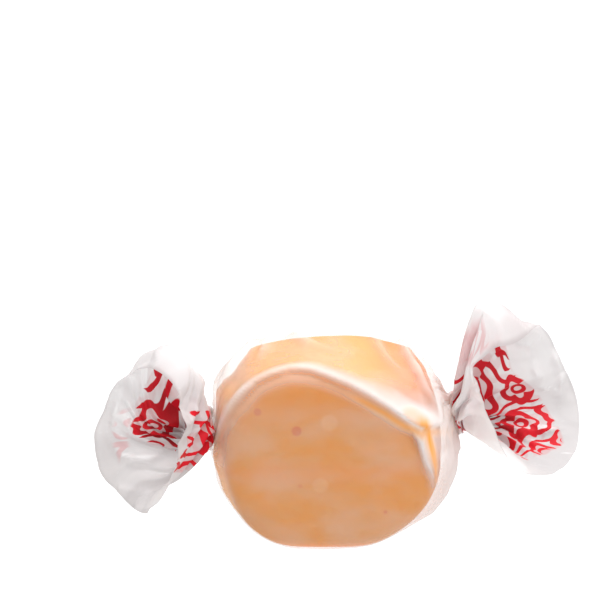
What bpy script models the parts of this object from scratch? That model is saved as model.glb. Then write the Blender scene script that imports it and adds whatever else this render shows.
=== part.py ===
"""Wrapped salt water taffy: one thick slice of soft candy inside one sheet of waxed paper.

The slice stands on its rounded side with a flat cut face towards the viewer. The paper goes once round
it, is twisted tight at the left and the right, and opens out past each twist as a crumpled bell.

Frame: +X runs from the left twist to the right twist, +Y away from the viewer, +Z up. The origin is on
the table, under the middle of the candy's flat foot. Lengths below are millimetres.
"""
import bmesh
import bpy
import numpy as np
from mathutils import Vector
from mathutils.bvhtree import BVHTree

MM = 0.001

# The candy: half its thickness, and how squarely its cut faces meet its sides.
HALF_THICKNESS = 7.4
SQUARENESS = 9.0
# Its outline is a softened twelve-sided figure. Each row is the direction of a side in degrees, then its
# distance from the middle at the front face and at the back face: the slice was cut a little askew.
SIDES = (
    (4.0, 12.0, 13.2), (25.0, 10.3, 13.9), (45.0, 9.5, 13.8), (70.0, 9.7, 12.6), (95.0, 11.0, 11.4),
    (131.0, 12.4, 13.9), (169.0, 12.4, 12.9), (197.0, 12.2, 12.4), (234.0, 12.3, 12.2), (270.0, 10.6, 10.6),
    (302.0, 11.6, 11.6), (328.0, 12.3, 12.2),
)
SIDE_SHARPNESS = 22.0
# The foot is pressed flat by this much, and paper within the second height of its level is made level.
FOOT_FLATTENING = 0.25
FOOT_LEVELLING = 0.04
CANDY_AROUND = 44
CANDY_DEPTH_STEPS = 13

# The paper: its wall as modelled, and the air between the candy and the paper.
PAPER = 0.35
AIR = 0.6
AROUND = 52
BODY_RINGS = 25
SKIN_DEPTH_STEPS = 31
# The rings of the paper round the candy lean towards the twists, the last ones by these degrees.
BODY_TILT = 74.0
INNER_TILT = 80.0

# The twists. The wall is thick there, because the whole width of the sheet is bunched together.
NECK_OUTER = 2.8
NECK_INNER = 0.8
NECK_HALF_LENGTH = 1.1
# Where the paper leaves the candy it first stands off it: (way back from the twist, radius) of two rings.
STANDING_OFF = ((1.6, 4.4), (3.0, 7.0))
# Loose folds of the paper round the candy stand out to these points.
LOOSE_FOLDS = (
    (15.0, -2.0, 10.6), (14.8, -3.0, 8.6), (13.8, -3.5, 6.1), (12.1, -4.0, 3.9),
    (-13.9, -1.5, 10.3), (-14.0, -2.0, 8.6), (-12.8, -3.0, 6.2), (-11.2, -3.5, 4.0),
    (-13.2, 3.5, 18.9), (-12.7, 3.0, 20.2), (-10.0, 5.0, 21.9), (9.9, 5.0, 22.0), (12.3, 4.0, 19.5),
)
NECK_RINGS = 3
TWIST_FLUTES = 7
FLUTE_DEPTH = 0.22
FLUTE_SLANT = 3.0
GATHER_FOLDS = 9
GATHER_HEIGHT = 0.45
GATHER_START = 0.4

# The opened ends. Each petal row is the direction round the twist, then radius and reach along the axis
# at the middle of the paper's length, then radius and reach at the cut edge.
WING_RINGS = 10
WALL_THINS_BY = 0.22
RUFFLES = 8
RUFFLE_HEIGHT = 0.35
LEFT_NECK = (-15.0, -0.5, 13.3)
LEFT_AXIS = (-0.74, -0.65, 0.15)
LEFT_PETALS = (
    (20.0, 3.8, 3.2, 6.4, 7.0),
    (50.0, 5.2, 3.0, 6.4, 6.2),
    (75.0, 8.4, 3.0, 7.0, 6.4),
    (98.0, 9.7, 4.2, 7.6, 7.6),
    (125.0, 6.4, 5.0, 7.2, 8.4),
    (160.0, 2.8, 6.0, 6.5, 9.0),
    (197.0, 2.6, 6.2, 7.5, 9.5),
    (218.0, 2.8, 6.0, 8.1, 9.5),
    (253.0, 3.6, 5.4, 7.6, 9.0),
    (289.0, 5.0, 4.2, 9.0, 8.2),
    (320.0, 4.6, 3.4, 7.2, 7.2),
    (350.0, 3.8, 2.8, 6.2, 6.8),
)
RIGHT_NECK = (15.3, 0.0, 15.2)
RIGHT_AXIS = (0.76, -0.52, 0.36)
RIGHT_PETALS = (
    (10.0, 5.0, 5.0, 8.6, 9.4),
    (37.0, 5.8, 5.2, 9.2, 9.4),
    (60.0, 8.4, 5.8, 8.0, 9.6),
    (80.0, 10.5, 6.2, 6.8, 9.6),
    (99.0, 11.4, 6.9, 6.4, 8.9),
    (114.0, 12.0, 8.0, 6.8, 7.2),
    (128.0, 7.0, 4.2, 6.8, 5.0),
    (142.0, 4.4, 2.6, 5.6, 4.8),
    (150.0, 4.4, 2.8, 5.6, 5.2),
    (185.0, 4.8, 3.6, 7.6, 7.2),
    (212.0, 5.8, 4.0, 9.6, 8.6),
    (235.0, 5.6, 4.8, 9.4, 9.4),
    (265.0, 5.4, 5.2, 8.6, 10.2),
    (317.0, 5.2, 5.2, 8.8, 10.0),
    (347.0, 5.2, 5.0, 8.9, 9.8),
)


def clear_scene():
    """Removes whatever is in the file, so that the part starts from nothing."""
    for thing in list(bpy.data.objects):
        bpy.data.objects.remove(thing, do_unlink=True)


def material(name, colour, roughness, metallic=0.0):
    """A plain material with its own name, base colour, roughness and metallic."""
    made = bpy.data.materials.new(name)
    made.use_nodes = True
    shader = made.node_tree.nodes["Principled BSDF"]
    shader.inputs["Base Color"].default_value = (*colour, 1.0)
    shader.inputs["Roughness"].default_value = roughness
    shader.inputs["Metallic"].default_value = metallic
    made.diffuse_color = (*colour, 1.0)
    return made


def unit(vector):
    """The vector with a length of one."""
    vector = np.asarray(vector, dtype=float)
    return vector / np.linalg.norm(vector, axis=-1, keepdims=True)


def across_and_up(axis):
    """Two directions square to an axis: a level one, and the one that points up."""
    level = unit(np.cross((0.0, 0.0, 1.0), axis))
    return level, np.cross(axis, level)


def periodic(angles, values, at):
    """A smooth closed curve through values at given angles in degrees, read at other angles."""
    count = len(angles)
    at = np.mod(at - angles[0], 360.0) + angles[0]
    here = np.searchsorted(angles, at, side="right") - 1
    after = np.where(here + 1 < count, angles[(here + 1) % count], angles[0] + 360.0)
    gap = after - angles[here]
    gap_before = np.mod(angles[here] - angles[(here - 1) % count], 360.0)
    gap_after = np.mod(angles[(here + 2) % count] - after, 360.0)
    before, start, end, beyond = (values[(here + step) % count] for step in (-1, 0, 1, 2))
    slope_start = (start - before) / gap_before * gap + (end - start) / gap * gap_before
    slope_end = (end - start) / gap * gap_after + (beyond - end) / gap_after * gap
    slope_start = slope_start / (gap_before + gap) * gap
    slope_end = slope_end / (gap + gap_after) * gap
    t = (at - angles[here]) / gap
    curve = (2 * t**3 - 3 * t**2 + 1) * start + (t**3 - 2 * t**2 + t) * slope_start
    return curve + (3 * t**2 - 2 * t**3) * end + (t**3 - t**2) * slope_end


def outline_radius(angle, depth):
    """Distance from the candy's middle to its outline, in directions in radians, at depths along Y."""
    backness = 0.5 + 0.5 * depth / HALF_THICKNESS
    total = 0.0
    for direction, front, back in SIDES:
        distance = front + (back - front) * backness
        total = total + np.maximum(np.cos(angle - np.radians(direction)) / distance, 0.0) ** SIDE_SHARPNESS
    return total ** (-1.0 / SIDE_SHARPNESS)


def candy_middle_height():
    """Height of the middle of the candy above the table, with the paper and the air under it."""
    return PAPER + AIR + outline_radius(np.radians(270.0), 0.0) - FOOT_FLATTENING


def candy_grid(around, steps):
    """Points of the candy as rings from the front face to the back face, with one point at each end."""
    turn = np.linspace(0.0, 2.0 * np.pi, around, endpoint=False)
    swing = np.linspace(-0.5 * np.pi, 0.5 * np.pi, steps + 2)[1:-1]
    scale = np.cos(swing) ** (2.0 / SQUARENESS)
    depth = HALF_THICKNESS * np.sign(swing) * np.abs(np.sin(swing)) ** (2.0 / SQUARENESS)
    radius = scale[:, None] * outline_radius(turn, depth[:, None])
    middle = candy_middle_height()
    x = radius * np.cos(turn)
    z = middle + radius * np.sin(turn)
    z = np.maximum(z, PAPER + AIR)
    y = np.broadcast_to(depth[:, None], x.shape)
    ends = np.array([[0.0, -HALF_THICKNESS, middle], [0.0, HALF_THICKNESS, middle]])
    return np.stack([x, y, z], axis=-1), ends


def candy_mesh(around, steps):
    """The candy as a closed bmesh in millimetres."""
    rings, ends = candy_grid(around, steps)
    mesh = bmesh.new()
    rows = [[mesh.verts.new(point) for point in ring] for ring in rings]
    front, back = (mesh.verts.new(point) for point in ends)
    for low, high in zip(rows, rows[1:]):
        for i in range(around):
            j = (i + 1) % around
            mesh.faces.new((low[i], low[j], high[j], high[i]))
    for i in range(around):
        j = (i + 1) % around
        mesh.faces.new((front, rows[0][j], rows[0][i]))
        mesh.faces.new((back, rows[-1][i], rows[-1][j]))
    bmesh.ops.recalc_face_normals(mesh, faces=mesh.faces)
    return mesh


def circle(middle, axis, radius, angles):
    """Points on a circle square to an axis, starting level and rising."""
    level, up = across_and_up(axis)
    spokes = np.cos(angles)[:, None] * level + np.sin(angles)[:, None] * up
    return middle + np.reshape(radius, (-1, 1)) * spokes


def neck_start(neck):
    """Where the twist begins, on the candy's side, and the direction in which it leaves the candy."""
    outwards = unit(np.asarray(neck) - (0.0, 0.0, candy_middle_height()))
    return np.asarray(neck) - NECK_HALF_LENGTH * outwards, outwards


def stretched_tree(grow, neck_radius):
    """A surface stretched tight over the candy, grown by some air, and over a disc at each twist."""
    candy = candy_mesh(2 * AROUND, SKIN_DEPTH_STEPS)
    candy.normal_update()
    points = [np.array(vert.co + vert.normal * grow) for vert in candy.verts]
    candy.free()
    angles = np.linspace(0.0, 2.0 * np.pi, AROUND, endpoint=False)
    for neck in (LEFT_NECK, RIGHT_NECK):
        middle, outwards = neck_start(neck)
        points.extend(circle(middle, outwards, neck_radius, angles))
        for back, radius in STANDING_OFF:
            points.extend(circle(middle - back * outwards, outwards, radius + grow - AIR, angles))
    centre = np.array([0.0, 0.0, candy_middle_height()])
    points.extend(fold + (grow - AIR) * unit(fold - centre) for fold in np.array(LOOSE_FOLDS))
    hull = bmesh.new()
    verts = [hull.verts.new(point) for point in points]
    result = bmesh.ops.convex_hull(hull, input=verts)
    loose = {vert for vert in result["geom_interior"] if isinstance(vert, bmesh.types.BMVert)}
    bmesh.ops.delete(hull, geom=list(loose), context="VERTS")
    tree = BVHTree.FromBMesh(hull)
    hull.free()
    return tree


def body_rings(grow, neck_radius, steepest):
    """Rings of the paper round the candy, from the left twist to the right twist."""
    tree = stretched_tree(grow, neck_radius)
    middle = np.array([0.0, 0.0, candy_middle_height()])
    turn = np.linspace(0.0, 2.0 * np.pi, AROUND, endpoint=False)
    spokes = np.stack([np.zeros(AROUND), np.cos(turn), np.sin(turn)], axis=-1)
    rings = []
    for place in np.linspace(-1.0, 1.0, BODY_RINGS):
        tilt = np.radians(steepest * place)
        pole = unit(np.asarray(RIGHT_NECK if tilt > 0 else LEFT_NECK) - middle)
        ways = unit(np.cos(tilt) * spokes + np.abs(np.sin(tilt)) * pole)
        gathered = np.clip((np.abs(place) - GATHER_START) / (1.0 - GATHER_START), 0.0, 1.0)
        folds = GATHER_HEIGHT * gathered * np.maximum(np.cos(GATHER_FOLDS * turn), 0.0)
        ring = []
        for way, spoke, fold in zip(ways, spokes, folds):
            hit = tree.ray_cast(Vector(middle), Vector(way))[0]
            ring.append(np.array(hit) + fold * spoke)
        ring = np.array(ring)
        lowest = PAPER + AIR - grow
        ring[:, 2] = np.where(ring[:, 2] < lowest + FOOT_LEVELLING, lowest, ring[:, 2])
        rings.append(ring)
    return rings


def neck_path(neck, wing_axis, t):
    """A point of the twist's bent middle line, and its direction there."""
    start, outwards = neck_start(neck)
    end = np.asarray(neck) + NECK_HALF_LENGTH * unit(wing_axis)
    point = (1 - t) ** 2 * start + 2 * t * (1 - t) * np.asarray(neck) + t**2 * end
    return point, unit((1 - t) * outwards + t * unit(wing_axis))


def neck_rings(neck, wing_axis, radius, flute):
    """Rings of the twist, with slanting flutes, from the candy's side to the opened end."""
    rings = []
    angles = np.linspace(0.0, 2.0 * np.pi, AROUND, endpoint=False)
    for t in np.linspace(0.0, 1.0, NECK_RINGS):
        middle, axis = neck_path(neck, wing_axis, t)
        wave = radius + flute * np.cos(TWIST_FLUTES * angles + FLUTE_SLANT * t)
        rings.append(circle(middle, axis, wave, angles))
    return rings


def wing_surface(neck, wing_axis, petals, angles):
    """Middle of the paper of an opened end: one ring per step from the twist to the cut edge."""
    around, mid_radius, mid_reach, rim_radius, rim_reach = np.array(petals).T
    degrees = np.degrees(angles)
    start_radius = 0.5 * (NECK_OUTER + NECK_INNER)
    mid_r, mid_z, rim_r, rim_z = (
        periodic(around, row, degrees) for row in (mid_radius, mid_reach, rim_radius, rim_reach)
    )
    pull_r = 2.0 * mid_r - 0.5 * start_radius - 0.5 * rim_r
    pull_z = 2.0 * mid_z - 0.5 * rim_z
    start, axis = neck_path(neck, wing_axis, 1.0)
    level, up = across_and_up(axis)
    spokes = np.cos(angles)[:, None] * level + np.sin(angles)[:, None] * up
    rings = []
    for t in np.linspace(0.0, 1.0, WING_RINGS + 1):
        radius = (1 - t) ** 2 * start_radius + 2 * t * (1 - t) * pull_r + t**2 * rim_r
        reach = 2 * t * (1 - t) * pull_z + t**2 * rim_z
        reach = reach + RUFFLE_HEIGHT * t**2 * np.sin(RUFFLES * angles)
        rings.append(start + radius[:, None] * spokes + reach[:, None] * axis)
    return np.array(rings)


def surface_normals(rings):
    """Unit normals of a grid of rings, on the side away from the axis they open along."""
    along = np.gradient(rings, axis=0)
    round_ = np.roll(rings, -1, axis=1) - np.roll(rings, 1, axis=1)
    return unit(np.cross(round_, along))


def wing_walls(neck, wing_axis, petals):
    """Outer and inner rings of one opened end, without the ring that the twist already has."""
    angles = np.linspace(0.0, 2.0 * np.pi, AROUND, endpoint=False)
    middle = wing_surface(neck, wing_axis, petals, angles)
    normals = surface_normals(middle)
    t = np.linspace(0.0, 1.0, WING_RINGS + 1)[:, None, None]
    thick = PAPER + (NECK_OUTER - NECK_INNER - PAPER) * np.clip(1.0 - t / WALL_THINS_BY, 0.0, 1.0) ** 2
    outer = middle + 0.5 * thick * normals
    inner = middle - 0.5 * thick * normals
    return list(outer[1:]), list(inner[1:])


def mirrored(rings):
    """The rings of the left end, turned to run the same way round as those of the right end."""
    order = np.mod(AROUND // 2 - np.arange(AROUND), AROUND)
    return [ring[order] for ring in rings]


def tube(name, outer, inner):
    """A closed wall from outer rings and inner rings, joined at both cut edges."""
    mesh = bmesh.new()
    loops = [[mesh.verts.new(point) for point in ring] for ring in outer + inner[::-1]]
    for low, high in zip(loops, loops[1:] + loops[:1]):
        for i in range(AROUND):
            j = (i + 1) % AROUND
            mesh.faces.new((low[i], low[j], high[j], high[i]))
    bmesh.ops.recalc_face_normals(mesh, faces=mesh.faces)
    return finished(name, mesh)


def finished(name, mesh):
    """Turns a millimetre bmesh into a triangulated, smooth-shaded object in metres."""
    bmesh.ops.scale(mesh, vec=(MM, MM, MM), verts=mesh.verts)
    bmesh.ops.triangulate(mesh, faces=mesh.faces)
    data = bpy.data.meshes.new(name)
    mesh.to_mesh(data)
    mesh.free()
    data.polygons.foreach_set("use_smooth", [True] * len(data.polygons))
    made = bpy.data.objects.new(name, data)
    bpy.context.scene.collection.objects.link(made)
    return made


def build_taffy():
    """The slice of candy."""
    taffy = finished("taffy", candy_mesh(CANDY_AROUND, CANDY_DEPTH_STEPS))
    taffy.data.materials.append(material("soft_taffy", (0.70, 0.34, 0.16), 0.45))
    return taffy


def build_wrapper():
    """The sheet of waxed paper: round the candy, through both twists and out to both cut edges."""
    outer = body_rings(AIR + PAPER, NECK_OUTER, BODY_TILT)
    inner = body_rings(AIR, NECK_INNER, INNER_TILT)
    for neck, axis, petals, left in (
        (LEFT_NECK, LEFT_AXIS, LEFT_PETALS, True),
        (RIGHT_NECK, RIGHT_AXIS, RIGHT_PETALS, False),
    ):
        wide, narrow = wing_walls(neck, axis, petals)
        wide = neck_rings(neck, axis, NECK_OUTER, FLUTE_DEPTH) + wide
        narrow = neck_rings(neck, axis, NECK_INNER, 0.0) + narrow
        if left:
            outer = mirrored(wide)[::-1] + outer
            inner = mirrored(narrow)[::-1] + inner
        else:
            outer = outer + wide
            inner = inner + narrow
    wrapper = tube("wrapper", outer, inner)
    wrapper.data.materials.append(material("waxed_paper", (0.86, 0.80, 0.78), 0.35))
    return wrapper


clear_scene()
build_taffy()
build_wrapper()
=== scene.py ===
# %% [markdown]
# # A wrapped salt water taffy
#
# A slice of soft candy stands on its rounded side in one sheet of waxed paper. The paper is nearly clear
# where it lies on the candy and white where it stands off it, so most of this lesson is about one thin
# sheet: how it goes round, how it is twisted, and how it lets light through.
#
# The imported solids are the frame. Everything made here takes its place from them. Shapes are worked out in
# millimetres and become metres when they are put in a mesh.

# %% Load the frame
import math

import bmesh
import bpy
import numpy as np
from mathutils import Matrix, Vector
from mathutils.bvhtree import BVHTree
from mathutils.geometry import delaunay_2d_cdt


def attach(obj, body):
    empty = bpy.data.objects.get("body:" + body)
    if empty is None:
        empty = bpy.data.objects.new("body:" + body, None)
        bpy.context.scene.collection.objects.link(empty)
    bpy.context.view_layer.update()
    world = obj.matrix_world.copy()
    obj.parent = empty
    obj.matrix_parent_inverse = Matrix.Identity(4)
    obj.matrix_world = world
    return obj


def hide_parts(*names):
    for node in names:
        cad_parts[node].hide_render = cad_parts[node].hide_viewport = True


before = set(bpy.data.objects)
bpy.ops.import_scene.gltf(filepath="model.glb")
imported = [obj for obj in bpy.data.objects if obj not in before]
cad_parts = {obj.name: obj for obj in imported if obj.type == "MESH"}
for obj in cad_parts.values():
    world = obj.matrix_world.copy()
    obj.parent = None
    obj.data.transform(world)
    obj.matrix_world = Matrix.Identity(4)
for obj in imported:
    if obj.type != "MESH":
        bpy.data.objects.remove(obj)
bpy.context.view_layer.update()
MM = 0.001

# %% [markdown]
# ## The camera
#
# The photograph was taken from about 160 mm away with a short telephoto look, a little above the candy. The
# horizon lies just above the top of the picture. A lens of 80 mm on a 36 mm sensor gives that view, and the
# height of the horizon in the picture gives the angle that the camera looks down by.

# %% Place the camera
PICTURE_SIDE = 608
HORIZON_ABOVE_MIDDLE = 331
LENS = 80.0
SENSOR = 36.0
CAMERA_PLACE = (-3.16, -152.8, 65.75)
NEAREST_SEEN = 10.0

pitch = math.atan(HORIZON_ABOVE_MIDDLE / (PICTURE_SIDE * LENS / SENSOR))
camera_data = bpy.data.cameras.new("camera")
camera_data.lens = LENS
camera_data.sensor_width = SENSOR
camera_data.clip_start = NEAREST_SEEN * MM
camera = bpy.data.objects.new("camera", camera_data)
bpy.context.scene.collection.objects.link(camera)
camera.location = [place * MM for place in CAMERA_PLACE]
camera.rotation_euler = (math.pi / 2 - pitch, 0.0, 0.0)
bpy.context.scene.camera = camera
print("camera looks down by", round(math.degrees(pitch), 1), "degrees")

# %% [markdown]
# ## Shader arithmetic
#
# A pattern is easier to read as a sum than as a web of nodes. One small class wraps a socket, so that
# ordinary Python arithmetic adds the Math nodes. Another holds the nodes of one material, and its method
# `node` adds a node of any kind. The other methods are short names for the nodes that this object needs
# most.

# %% A class that turns arithmetic into nodes
class Value:
    """A socket of one material's nodes that can be used in an expression."""

    def __init__(self, paint, socket):
        self.paint = paint
        self.socket = socket

    def maths(self, operation, other=None, swapped=False):
        """This value, run through a Math node, with another value where the operation needs one."""
        sockets = [self] if other is None else [self, other]
        if swapped:
            sockets.reverse()
        return self.paint.node("ShaderNodeMath", {"operation": operation}, dict(enumerate(sockets)))

    def __add__(self, other):
        return self.maths("ADD", other)

    def __radd__(self, other):
        return self.maths("ADD", other, swapped=True)

    def __sub__(self, other):
        return self.maths("SUBTRACT", other)

    def __rsub__(self, other):
        return self.maths("SUBTRACT", other, swapped=True)

    def __mul__(self, other):
        return self.maths("MULTIPLY", other)

    def __rmul__(self, other):
        return self.maths("MULTIPLY", other, swapped=True)

    def __truediv__(self, other):
        return self.maths("DIVIDE", other)

    def __lt__(self, other):
        return self.maths("LESS_THAN", other)


# %% A class for the nodes of one material
class Paint:
    """The nodes of one material."""

    def __init__(self, name):
        self.material = bpy.data.materials.new(name)
        self.material.use_nodes = True
        self.tree = self.material.node_tree
        self.shader = self.tree.nodes["Principled BSDF"]
        self.output = self.tree.nodes["Material Output"]

    def put(self, socket, value):
        """Gives a socket a link or a plain value."""
        if isinstance(value, Value):
            self.tree.links.new(value.socket, socket)
        else:
            socket.default_value = value

    def node(self, kind, settings=None, sockets=None, out=0):
        """Adds a node. Settings come first, because they can change which sockets there are."""
        made = self.tree.nodes.new(kind)
        for key, value in (settings or {}).items():
            setattr(made, key, value)
        for key, value in (sockets or {}).items():
            self.put(made.inputs[key], value)
        return Value(self, made.outputs[out])

    def place(self, scale=(1.0, 1.0, 1.0), turn=(0.0, 0.0, 0.0)):
        """The object's own coordinates in millimetres, scaled and turned by a Mapping node."""
        where = self.node("ShaderNodeTexCoord", out=3)
        per_mm = tuple(s / MM for s in scale)
        return self.node("ShaderNodeMapping", {}, {"Vector": where, "Scale": per_mm, "Rotation": turn})

    def parts(self, vector):
        """The three numbers of a vector."""
        first = self.node("ShaderNodeSeparateXYZ", {}, {0: vector})
        return [Value(self, socket) for socket in first.socket.node.outputs]

    def noise(self, vector, scale=1.0, detail=2.0, roughness=0.5, distortion=0.0):
        """Cloudy noise between 0 and 1."""
        return self.node("ShaderNodeTexNoise", {}, {
            "Vector": vector, "Scale": scale, "Detail": detail, "Roughness": roughness,
            "Distortion": distortion,
        })

    def between(self, value, low, high):
        """Rises smoothly from 0 to 1 while the value goes from low to high."""
        sockets = {"Value": value, "From Min": low, "From Max": high}
        return self.node("ShaderNodeMapRange", {"interpolation_type": "SMOOTHSTEP"}, sockets)

    def mix(self, factor, first, second):
        """A colour between two colours."""
        return self.node("ShaderNodeMix", {"data_type": "RGBA"}, {0: factor, 6: first, 7: second}, out=2)

    def bump(self, height, strength, distance):
        """A normal that is tilted by a height."""
        return self.node("ShaderNodeBump", {}, {"Height": height, "Strength": strength, "Distance": distance})

    def surface(self, **sockets):
        """Sets sockets of the Principled shader by name, with spaces written as underscores."""
        for key, value in sockets.items():
            self.put(self.shader.inputs[key.replace("_", " ")], value)
        return self.material


# %% [markdown]
# ## The floor and the light
#
# The picture is high key: a white table that melts into a white background, with no shadow to be seen. A
# large plane does for the table. It glows a little, like the lit-up glass of a product table, so the shadow
# is washed out and the underside of the paper stays bright. A wide lamp above makes the top lighter than
# the front face, a weaker one in front fills the hollows, and the world gives the even light of a white
# studio.

# %% Make the floor
WHITE = (1.0, 1.0, 1.0, 1.0)
FLOOR_GREY = (0.10, 0.10, 0.10, 1.0)
FLOOR_WIDTH = 40.0

bpy.ops.object.select_all(action="DESELECT")
bpy.ops.mesh.primitive_plane_add(size=FLOOR_WIDTH, location=(0.0, 0.0, 0.0))
floor = bpy.context.active_object
floor.name = "floor"
floor.data.materials.append(Paint("white_table").surface(
    Base_Color=FLOOR_GREY, Roughness=0.8, Emission_Color=WHITE, Emission_Strength=1.0,
))
print("floor:", FLOOR_WIDTH, "m wide")

# %% Light the studio
WORLD_STRENGTH = 0.28
LAMPS = (
    # (name, strength, spread in degrees, direction that it stands in)
    ("overhead", 4.1, 75.0, (0.22, 0.0, 1.0)),
    ("fill", 0.7, 60.0, (0.10, -1.0, 0.25)),
)
CLEAR_LAYERS = 24

world = bpy.data.worlds.new("white_studio")
world.use_nodes = True
background = world.node_tree.nodes["Background"]
background.inputs["Color"].default_value = WHITE
background.inputs["Strength"].default_value = WORLD_STRENGTH
bpy.context.scene.world = world
bpy.context.scene.view_settings.view_transform = "Standard"
bpy.context.scene.cycles.transparent_max_bounces = CLEAR_LAYERS
for name, strength, spread, direction in LAMPS:
    lamp_data = bpy.data.lights.new(name, "SUN")
    lamp_data.energy = strength
    lamp_data.angle = math.radians(spread)
    lamp = bpy.data.objects.new(name, lamp_data)
    bpy.context.scene.collection.objects.link(lamp)
    lamp.rotation_euler = Vector(direction).to_track_quat("Z", "Y").to_euler()
print(len(LAMPS), "lamps in a world of", WORLD_STRENGTH)

# %% [markdown]
# ## The candy
#
# Salt water taffy is pulled sugar, soft enough to sag into the form of its wrapper. The CAD solid already
# has the right form but hard edges. It could be modelled again from a cylinder, but a copy of the solid is
# sure to fit: its loose triangles are merged and made quads where they can be, it is grown by a hair until
# it lies against the paper, and a Subdivision Surface rounds it.

# %% Copy the candy's solid and round it
CANDY_GROWTH = 0.40
MERGE_WITHIN = 0.01
QUAD_ANGLE = math.radians(60.0)
ROUNDING_LEVELS = 2


def only(thing):
    """Selects one object and makes it active, with nothing else selected."""
    bpy.ops.object.select_all(action="DESELECT")
    thing.select_set(True)
    bpy.context.view_layer.objects.active = thing


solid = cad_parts["taffy"]
candy = bpy.data.objects.new("candy", solid.data.copy())
bpy.context.scene.collection.objects.link(candy)
candy.data.materials.clear()
only(candy)
bpy.ops.object.mode_set(mode="EDIT")
bpy.ops.mesh.select_all(action="SELECT")
bpy.ops.mesh.remove_doubles(threshold=MERGE_WITHIN * MM)
bpy.ops.mesh.tris_convert_to_quads(face_threshold=QUAD_ANGLE, shape_threshold=QUAD_ANGLE)
bpy.ops.transform.shrink_fatten(value=CANDY_GROWTH * MM, use_even_offset=False)
bpy.ops.object.mode_set(mode="OBJECT")
rounding = candy.modifiers.new("rounding", "SUBSURF")
rounding.levels = ROUNDING_LEVELS
rounding.render_levels = ROUNDING_LEVELS
bpy.ops.object.modifier_apply(modifier=rounding.name)
bpy.ops.object.shade_smooth()
print("candy:", len(candy.data.polygons), "faces, box in mm:", [round(v / MM, 1) for v in candy.dimensions])

# %% [markdown]
# ## The look of the candy
#
# The candy is a pale orange that goes browner in clouds, with faint streaks from the pulling. Light enters
# it a little way, which subsurface scattering gives. The cut face has a few little round air bubbles. An
# image could hold them, but they are only discs: each is placed on the face, darker or paler than the
# candy, by the distance from a point. Behind the face the candy is more even, and painted brighter than the
# face, as painted light on its top, and darker towards the right, as painted shade. The top of the face is
# painted a deeper orange, as the painted shadow of the paper's front fold, and so is a band along the foot,
# as painted contact shade.

# %% Choose the candy's colours and bubbles
FACE_TONES = ((0.66, 0.262, 0.050, 1.0), (0.62, 0.269, 0.072, 1.0))
FACE_STREAK_AND_SHADE = (0.68, 0.235, 0.030, 1.0)
SIDE_LIGHT_AND_SHADE_TONES = ((0.86, 0.375, 0.072, 1.0), (0.80, 0.265, 0.045, 1.0))
FOOT_SHADE_TONE = (0.86, 0.24, 0.040, 1.0)
FACE_DEPTH = (-6.6, -4.6)
SHADED_TOP_HEIGHT = (14.5, 20.0)
FOOT_SHADE_HEIGHT = (0.2, 2.0)
SIDE_SHADE_CHANGE = (2.0, 9.0)
CLOUD_RANGE = (0.36, 0.66)
PULL_SHARE, SHADED_TOP_SHARE, FOOT_SHADE_SHARE = 0.5, 0.6, 0.8
DARK_BUBBLE = (0.58, 0.15, 0.035, 1.0)
PALE_BUBBLE = (0.70, 0.40, 0.20, 1.0)
DARK_BUBBLES = (
    # (across and up from the foot in millimetres, radius, strength)
    (-8.4, 17.6, 0.46, 0.80),
    (-4.0, 15.4, 0.60, 0.90),
    (-3.6, 8.8, 0.26, 0.50),
    (6.2, 5.6, 0.26, 0.70),
)
PALE_BUBBLES = (
    (-0.3, 16.4, 1.00, 0.28),
    (-1.3, 8.9, 0.95, 0.28),
)
BUBBLE_RIM = (0.75, 1.15)
PULL_HEIGHT = 10.4
PULL_WIDTH = 2.0
print("bubbles:", len(DARK_BUBBLES), "dark and", len(PALE_BUBBLES), "pale")


# %% Paint the candy
def bubbles(paint, discs, across, up):
    """How much of a bubble there is at a place on the face, from 0 to 1."""
    mask = across * 0.0
    for x, z, radius, strength in discs:
        distance = ((across - x) * (across - x) + (up - z) * (up - z)).maths("SQRT")
        disc = 1.0 - paint.between(distance, radius * BUBBLE_RIM[0], radius * BUBBLE_RIM[1])
        mask = mask.maths("MAXIMUM", disc * strength)
    return mask


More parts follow.
